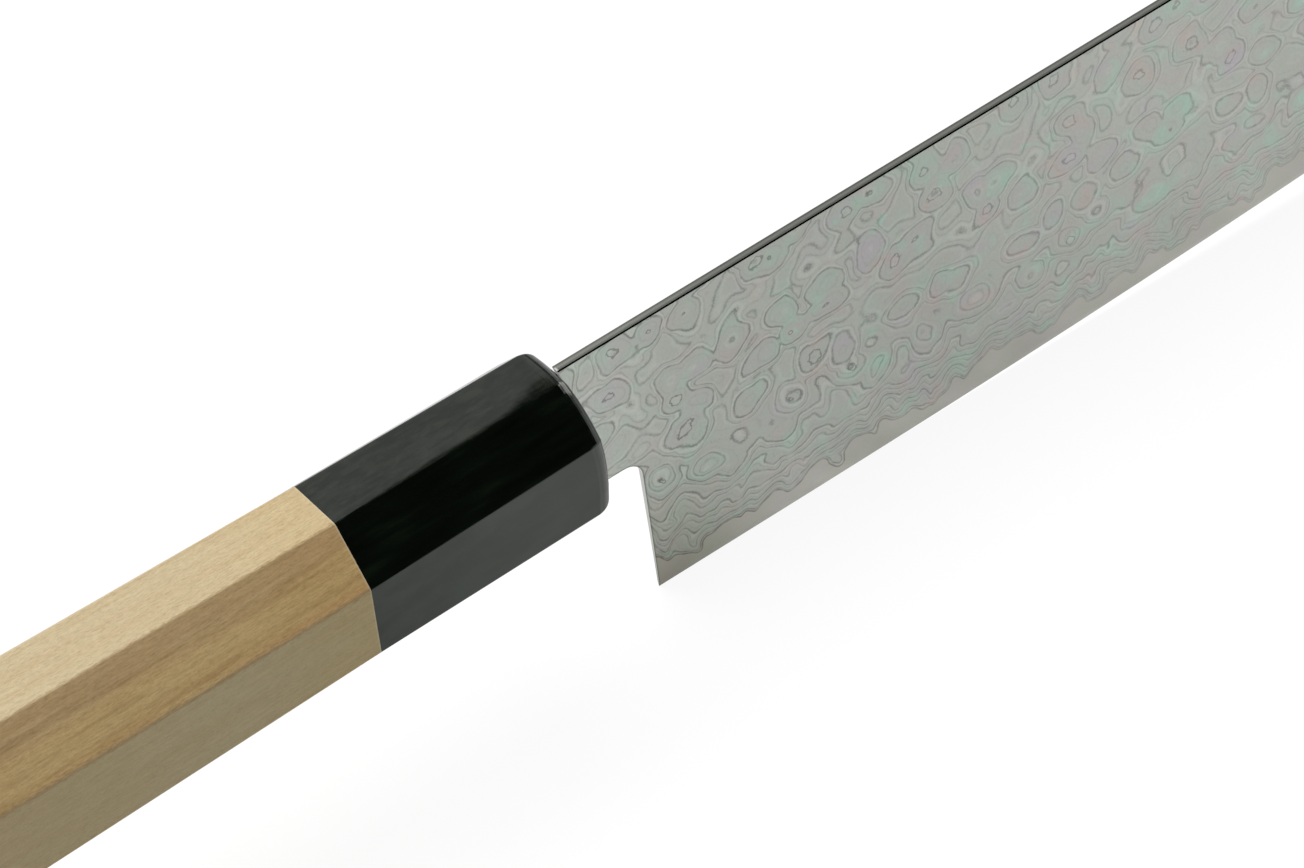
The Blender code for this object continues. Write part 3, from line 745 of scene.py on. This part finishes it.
def growth_rings(graph, y, up, wander):
    """The tone of the growth rings: 1 in the late wood of each."""
    from_pith = graph.plus(graph.calc("POWER", graph.minus(y, PITH[0]), 2.0),
                           graph.calc("POWER", graph.minus(up, PITH[1]), 2.0))
    from_pith = graph.plus(graph.calc("SQRT", from_pith), graph.swing(wander, RING_WANDER))
    return graph.ramp(graph.calc("FRACT", graph.over(from_pith, RING_WIDTH)), RING_TONES)


print("rings across the butt, about:", round((high[1] - low[1]) / MM / RING_WIDTH))

# %% [markdown]
# The facet between the top and the right side cuts a browner stripe of heartwood, with golden wood
# below it and an amber line along its lower edge. It belongs to that facet alone, so it is laid
# where the surface faces that way; its colours are darker than the top's, partly painted shade. The
# side facet is painted greyer, greener and darker, as painted shade, and near the joint the wood is
# a little riper in colour.

# %% Colours of the wood
PALE_WOOD, WARM_WOOD = (0.725, 0.600, 0.380), (0.677, 0.537, 0.320)
# The slanted facet's colours: the wood's own streaks, darker than the top's, partly painted shade
GOLD_WOOD_AND_SHADE, HEART_WOOD_AND_SHADE, AMBER_WOOD_AND_SHADE = (0.693, 0.503, 0.238), (0.617, 0.433, 0.223), (0.620, 0.370, 0.160)
# The angles, in radians, at which the slanted facet's colours begin and end, and the side facet's end
SLANT_FROM, SLANT_TO, SIDE_TO = (0.44, 0.60), (0.86, 1.06), (0.10, 0.45)
ACROSS_SLANT = 0.663, 0.748  # the direction across the slanted facet: y, z
HEART_FROM, AMBER_TO = (1.2, 4.6), (-2.8, -1.2)  # mm across the facet from its middle
STRIPE_WANDER, AMBER_STRENGTH, RING_STRENGTH = 4.2, 0.6, 0.5
HATCH_TINTS = [(0.36, (0.92, 0.90, 0.87)), (0.52, (1.0, 1.0, 1.0)), (0.68, (1.03, 1.035, 1.04))]
BAND_TINTS = [(0.34, (0.87, 0.84, 0.81)), (0.50, (1.0, 1.0, 1.0)), (0.66, (1.05, 1.06, 1.07))]
# Painted shade on the side facet: darker, greyer and greener
SIDE_SHADE_AT_BUTT, SIDE_SHADE_AT_JOINT = (0.86, 0.855, 0.765), (0.88, 0.91, 0.85)
SIDE_OVER = -110.0, -75.0
RIPE_TINT, RIPE_FROM, RIPEST, RIPE_SWING = (1.02, 0.95, 0.82), -78.0, 0.55, 0.7


def by_value(graph, color, value, stops):
    """A colour times the tint that a value picks from a ramp."""
    return graph.tint(color, graph.ramp(value, stops))


def slant_stripe_and_shade(graph, place, y, up):
    """The colours of the slanted facet: heartwood above, gold in the middle, amber below, all partly painted
    shade.
    """
    across = graph.plus(graph.times(y, ACROSS_SLANT[0]), graph.times(up, ACROSS_SLANT[1]))
    wandering = graph.streaks(place, along=0.06, size=1.0, detail=4.0)
    ragged = graph.plus(across, graph.swing(wandering, STRIPE_WANDER))
    stripe = graph.mix(graph.mapped(ragged, *HEART_FROM), GOLD_WOOD_AND_SHADE, HEART_WOOD_AND_SHADE)
    stripe = graph.mix(graph.mapped(ragged, *AMBER_TO, AMBER_STRENGTH, 0.0), stripe, AMBER_WOOD_AND_SHADE)
    stripe = by_value(graph, stripe, graph.streaks(place, along=0.08, size=0.30), HATCH_TINTS)
    return by_value(graph, stripe, graph.streaks(place, along=0.04, size=1.1, detail=3.0), BAND_TINTS)


def wood_color(graph, place, x, y, up, facing, on_side, ring, wander):
    """The wood's broad colours, facet by facet, with partly painted shade on the slanted facet and painted
    shade on the side facet.
    """
    color = graph.mix(graph.times(ring, RING_STRENGTH), PALE_WOOD, WARM_WOOD)
    on_slant = graph.times(graph.mapped(facing, *SLANT_FROM), graph.mapped(facing, *SLANT_TO, 1.0, 0.0))
    on_slant = graph.times(on_slant, graph.calc("LESS_THAN", y, 0.0))
    color = graph.mix(on_slant, color, slant_stripe_and_shade(graph, place, y, up))
    side_shade = graph.mix(graph.mapped(x, *SIDE_OVER), SIDE_SHADE_AT_BUTT, SIDE_SHADE_AT_JOINT)
    color = graph.mix(on_side, color, graph.tint(color, side_shade))
    ripe = graph.plus(graph.mapped(x, RIPE_FROM, JOINT_X, 0.0, RIPEST), graph.swing(wander, RIPE_SWING))
    return graph.mix(graph.at_least(ripe, 0.0), color, graph.tint(color, RIPE_TINT))


# %% [markdown]
# The edges between the facets are painted a ragged darker brown, most of all the near and the
# upper ones: painted shade where the rounded edges turn from one facet to the next. Each edge is
# found by its distance from where two facets meet, on those two facets only. The flecks of the
# wood fray the line, so it has no clean side.

# %% Painted shade on the edges of the wood
TOP_HALF_AT_BUTT = 4.5
SIDE_HALF_AT_BUTT, SIDE_HALF_AT_JOINT = 6.7, 5.3  # half the side facet's height
# Painted shade: the darker brown laid along the edges between the facets
EDGE_SHADE = (0.480, 0.340, 0.170)
EDGE_REACH, EDGE_FRAY = 0.60, 0.9  # mm
STRONG_EDGE, FAINT_EDGE = 0.70, 0.20
TOP_TURN, SIDE_TURN = 1.2, 0.36  # the angles, in radians, that lie halfway between two facets' own
TURN_REACH = 0.40, 0.48
SIDES_MEET = -1.0, 1.0  # mm, over which one side's strength gives way to the other's


def shaded_edges(graph, x, y, up, facing, fleck, color):
    """A colour with painted shade, darker brown, along the edges of the top facet and of the side facets."""
    top_half = graph.sloped(x, BUTT_X, JOINT_X, TOP_HALF_AT_BUTT, TOP_HALF_AT_JOINT)
    side_half = graph.sloped(x, BUTT_X, JOINT_X, SIDE_HALF_AT_BUTT, SIDE_HALF_AT_JOINT)
    frayed = graph.swing(fleck, EDGE_FRAY)
    off_top = graph.apart(graph.calc("ABSOLUTE", y), top_half)
    off_side = graph.apart(graph.calc("ABSOLUTE", up), side_half)
    near_edge = graph.mapped(y, *SIDES_MEET, STRONG_EDGE, FAINT_EDGE)
    upper_edge = graph.mapped(up, *SIDES_MEET, FAINT_EDGE, STRONG_EDGE)
    for distance, turn, strength in ((off_top, TOP_TURN, near_edge), (off_side, SIDE_TURN, upper_edge)):
        close = graph.mapped(graph.plus(distance, frayed), 0.0, EDGE_REACH, 1.0, 0.0)
        close = graph.times(close, strength)
        close = graph.times(close, graph.mapped(graph.apart(facing, turn), *TURN_REACH, 1.0, 0.0))
        color = graph.mix(close, color, EDGE_SHADE)
    return color


# %% [markdown]
# Close up, the fibres show as short fine flecks, a speckle of pores, long faint streaks and a soft
# mottle, each one a noise of its own size and length. The side facet was sanded finer, so its
# flecks are calmer. At the joint a hairline of the wood catches the light, and the butt is end
# grain: the rings in brown, dotted with pores.

# %% Wood finish
FLECK_TINTS = [(0.26, (0.82, 0.80, 0.77)), (0.5, (1.0, 1.0, 1.0)), (0.74, (1.07, 1.075, 1.085))]
SPECKLE_TINTS = [(0.3, (0.94, 0.935, 0.93)), (0.7, (1.05, 1.05, 1.05))]
STREAK_TINTS = [(0.35, (0.965, 0.93, 0.91)), (0.52, (1.0, 1.0, 1.0)), (0.70, (1.02, 1.03, 1.04))]
MOTTLE_TINTS = [(0.3, (0.97, 0.965, 0.955)), (0.7, (1.03, 1.03, 1.035))]
CALM_SIDE = 0.55
JOINT_LIGHT, JOINT_LINE, JOINT_STRENGTH = (0.80, 0.68, 0.46), (-0.26, -0.10), 0.5  # mm from the joint
END_PALE, END_DARK, END_PORES = (0.50, 0.375, 0.205), (0.36, 0.25, 0.125), [(0.35, 0.72), (0.5, 1.0)]
FLECK_ROUGH = 0.62, 0.50
FLECK_HEIGHT, MOTTLE_HEIGHT, WOOD_RELIEF = 0.8, 0.6, (0.5, 0.03)


def fine_grain(graph, place, on_side, fleck, mottle, color):
    """A colour with the wood's flecks, pores, streaks and mottle."""
    shown = graph.times(graph.swing(fleck, 1.0), graph.mapped(on_side, 0.0, 1.0, 1.0, CALM_SIDE))
    color = by_value(graph, color, graph.plus(0.5, shown), FLECK_TINTS)
    color = by_value(graph, color, graph.streaks(place, along=0.8, size=0.13, detail=1.0), SPECKLE_TINTS)
    color = by_value(graph, color, graph.streaks(place, along=0.025, size=0.55, detail=3.0), STREAK_TINTS)
    return by_value(graph, color, mottle, MOTTLE_TINTS)


def end_grain(graph, place, ring):
    """The colour of the butt: the rings in brown, dotted with pores."""
    pores = graph.streaks(place, along=0.6, size=0.22)
    return by_value(graph, graph.mix(ring, END_PALE, END_DARK), pores, END_PORES)


def make_wood_material():
    material, graph, shader = new_material("pale_wood")
    place = graph.place()
    x, y, z = graph.axes(place)
    up = graph.minus(z, AXIS_Z)
    on_end, facing = wood_facets(graph)
    on_side = graph.mapped(facing, *SIDE_TO, 1.0, 0.0)
    wander = graph.streaks(place, along=0.05, size=5.0)
    fleck = graph.streaks(place, along=0.20, size=0.17, roughness=0.6)
    mottle = graph.streaks(place, along=0.45, size=0.9)
    ring = growth_rings(graph, y, up, wander)
    color = wood_color(graph, place, x, y, up, facing, on_side, ring, wander)
    color = shaded_edges(graph, x, y, up, facing, fleck, color)
    color = fine_grain(graph, place, on_side, fleck, mottle, color)
    joint_line = graph.mapped(x, JOINT_X + JOINT_LINE[0], JOINT_X + JOINT_LINE[1], 0.0, JOINT_STRENGTH)
    color = graph.mix(joint_line, color, JOINT_LIGHT)
    color = graph.mix(on_end, color, end_grain(graph, place, ring))

    rough = graph.sloped(fleck, 0.3, 0.7, *FLECK_ROUGH)
    height = graph.plus(graph.times(fleck, FLECK_HEIGHT), graph.times(mottle, MOTTLE_HEIGHT))
    bump = graph.bump(height, *WOOD_RELIEF)
    give(graph, shader, Base_Color=color, Roughness=rough, Specular_IOR_Level=0.3, Normal=bump)
    return material


dress("handle_body", make_wood_material())

# %% [markdown]
# ## Set adhesive
#
# Round the tang the ferrule's slot is closed with dark adhesive. Only a narrow strip of it can be
# seen on either side of the neck, and that from the front, so it needs no more than its blackish
# brown, small pits and a dull gloss.

# %% Adhesive finish
ADHESIVE_TONES = [(0.35, (0.012, 0.010, 0.008)), (0.65, (0.035, 0.030, 0.022))]
ADHESIVE_ROUGH, ADHESIVE_RELIEF = (0.35, 0.6), (0.6, 0.05)


def make_adhesive_material():
    material, graph, shader = new_material("set_adhesive")
    lumps = graph.noise(graph.place(), size=0.4, detail=3.0)
    rough = graph.sloped(lumps, 0.3, 0.7, *ADHESIVE_ROUGH)
    color, bump = graph.ramp(lumps, ADHESIVE_TONES), graph.bump(lumps, *ADHESIVE_RELIEF)
    give(graph, shader, Base_Color=color, Roughness=rough, Normal=bump)
    return material


dress("tang_adhesive", make_adhesive_material())

# %% [markdown]
# ## Floor
#
# The photograph shows the knife cut out on pure white. A white floor and a white world give that,
# and the floor keeps a soft shadow. It glows nearly white for the camera, and the lamp on a darker
# paint does the rest, so a shadow takes only that little away. For the light that it throws back
# on the knife, the paint is a plain pale one. For mirrored rays the glow is uneven, with painted
# shade: darker round the heel, beside the middle of the blade and under the handle, with soft
# patches. Glossy horn and steel show their shape by it.

# %% Floor
FLOOR_REACH = 4.0  # metres from the middle to each side
FLOOR_PAINT, FLOOR_SEEN = (0.80, 0.80, 0.80), (0.14, 0.14, 0.14)
MIRRORED_GLOW, STRAIGHT_GLOW = 0.90, 0.915
# Painted shade in the mirrored glow, round the heel, beside the blade and under the handle
SHADE_NARROW = 0.35  # mm across that count as much as one mm along the knife
SHADE_FAR, SHADE_NEAR = (0.0, 70.0, 0.86, 1.0), (0.0, 9.0, 0.50, 0.93)  # from mm, to mm, and the glow there
BLADE_MIDDLE, BESIDE_BLADE = 40.0, (0.0, 50.0, 0.93, 1.06)
UNDER_HANDLE, UNDER_HEEL = (-46.0, -14.0, 0.68, 1.08), (-14.0, 14.0, 1.0, 0.92)  # from x, to x, the glow
PATCH_SWING = 0.86, 1.14


def mirrored_glow(graph, place):
    """How brightly the floor shows in a mirror, from place to place, with painted shade round the heel,
    beside the blade and under the handle.
    """
    x, y, _ = graph.axes(place)
    from_heel = graph.length(graph.times(graph.minus(x, HEEL_X), SHADE_NARROW), y)
    glow = graph.calc("MINIMUM", graph.sloped(from_heel, *SHADE_FAR), graph.sloped(from_heel, *SHADE_NEAR))
    glow = graph.times(glow, graph.sloped(graph.apart(x, BLADE_MIDDLE), *BESIDE_BLADE))
    glow = graph.times(glow, graph.sloped(x, *UNDER_HANDLE), graph.sloped(x, *UNDER_HEEL))
    patchy = graph.streaks(place, along=0.5, size=5.0, detail=3.0, roughness=0.6)
    return graph.times(glow, graph.sloped(patchy, 0.25, 0.75, *PATCH_SWING))


def make_floor_material():
    material, graph, shader = new_material("white_floor")
    place = graph.place()
    rays = graph.tree.nodes.new("ShaderNodeLightPath").outputs
    straight = graph.plus(rays["Is Camera Ray"], rays["Is Transmission Ray"])
    shade = graph.mix(graph.plus(straight, rays["Is Glossy Ray"]), FLOOR_PAINT, FLOOR_SEEN)
    glow = graph.times(rays["Is Glossy Ray"], graph.times(mirrored_glow(graph, place), MIRRORED_GLOW))
    glow = graph.plus(glow, graph.times(straight, STRAIGHT_GLOW))
    give(graph, shader, Base_Color=shade, Roughness=0.9, Specular_IOR_Level=0.0)
    give(graph, shader, Emission_Color=(1.0, 1.0, 1.0), Emission_Strength=glow)
    return material


bm = bmesh.new()
bmesh.ops.create_grid(bm, x_segments=1, y_segments=1, size=FLOOR_REACH)
floor_mesh = bpy.data.meshes.new("floor")
bm.to_mesh(floor_mesh)
bm.free()
floor_mesh.materials.append(make_floor_material())
floor = bpy.data.objects.new("floor", floor_mesh)
bpy.context.scene.collection.objects.link(floor)
print("floor, in metres across:", 2 * FLOOR_REACH)

# %% [markdown]
# ## Light and background
#
# The world is pure white for the camera. For mirrored rays it has a bright wall behind the knife
# and a pale horizon all round, under a dark ceiling. The top facet of the horn looks into the wall,
# close to its upper end, so the least unevenness of the polish shows, and the slanted facet looks
# into the dark. Lamps in the mirror would show as hard white shapes, so the wall is in the world.

# %% World
AMBIENT = 0.22
WALL, CEILING = 0.90, 0.01
WALL_TOP = math.radians(53), math.radians(59)  # where the bright wall behind ends, seen from the side
WALL_END = 0.64, 0.80  # where it ends towards the tip
HORIZON = 0.06, 0.16


def mirrored_world(graph):
    """How bright the world is for mirrored rays: the wall, the horizon and the ceiling."""
    parts = graph.axes(graph.add("ShaderNodeTexCoord", output="Generated"))
    climb = graph.calc("ARCTAN2", parts[2], parts[1])
    wall = graph.times(graph.mapped(climb, *WALL_TOP, WALL, 0.0), graph.mapped(parts[0], *WALL_END, 1.0, 0.0))
    return graph.at_least(graph.at_least(wall, graph.mapped(parts[2], *HORIZON, 1.0, 0.0)), CEILING)


world = bpy.data.worlds.new("studio")
bpy.context.scene.world = world
world.use_nodes = True
graph = Graph(world.node_tree)
rays = graph.tree.nodes.new("ShaderNodeLightPath").outputs
strength = graph.plus(rays["Is Camera Ray"], rays["Is Transmission Ray"])
strength = graph.plus(strength, graph.times(rays["Is Diffuse Ray"], AMBIENT))
strength = graph.plus(strength, graph.times(rays["Is Glossy Ray"], mirrored_world(graph)))
background = world.node_tree.nodes["Background"]
graph.set(background.inputs["Color"], (1.0, 1.0, 1.0))
graph.set(background.inputs["Strength"], strength)
print("world:", world.name)

# %% [markdown]
# One large soft lamp, high up behind the knife, lights the handle's top facet fully and its side
# least, as in the photograph. It is hidden from mirrored rays, which have the wall.

# %% Lamp
def add_lamp(name, turn, height, distance, size, power):
    """A square soft light that looks at the knife from a turn and a height round it."""
    data = bpy.data.lights.new(name, "AREA")
    data.size = size
    data.energy = power
    lamp = bpy.data.objects.new(name, data)
    away = direction(math.radians(turn), math.radians(height))
    turn = away.to_track_quat("Z", "Y").to_matrix().to_4x4()
    lamp.matrix_world = Matrix.Translation(away * distance) @ turn
    lamp.visible_glossy = False
    bpy.context.scene.collection.objects.link(lamp)
    print("lamp:", lamp.name)


add_lamp("key", turn=180.0, height=68.0, distance=1.6, size=1.3, power=22.0)
bpy.context.scene.view_settings.view_transform = "Standard"
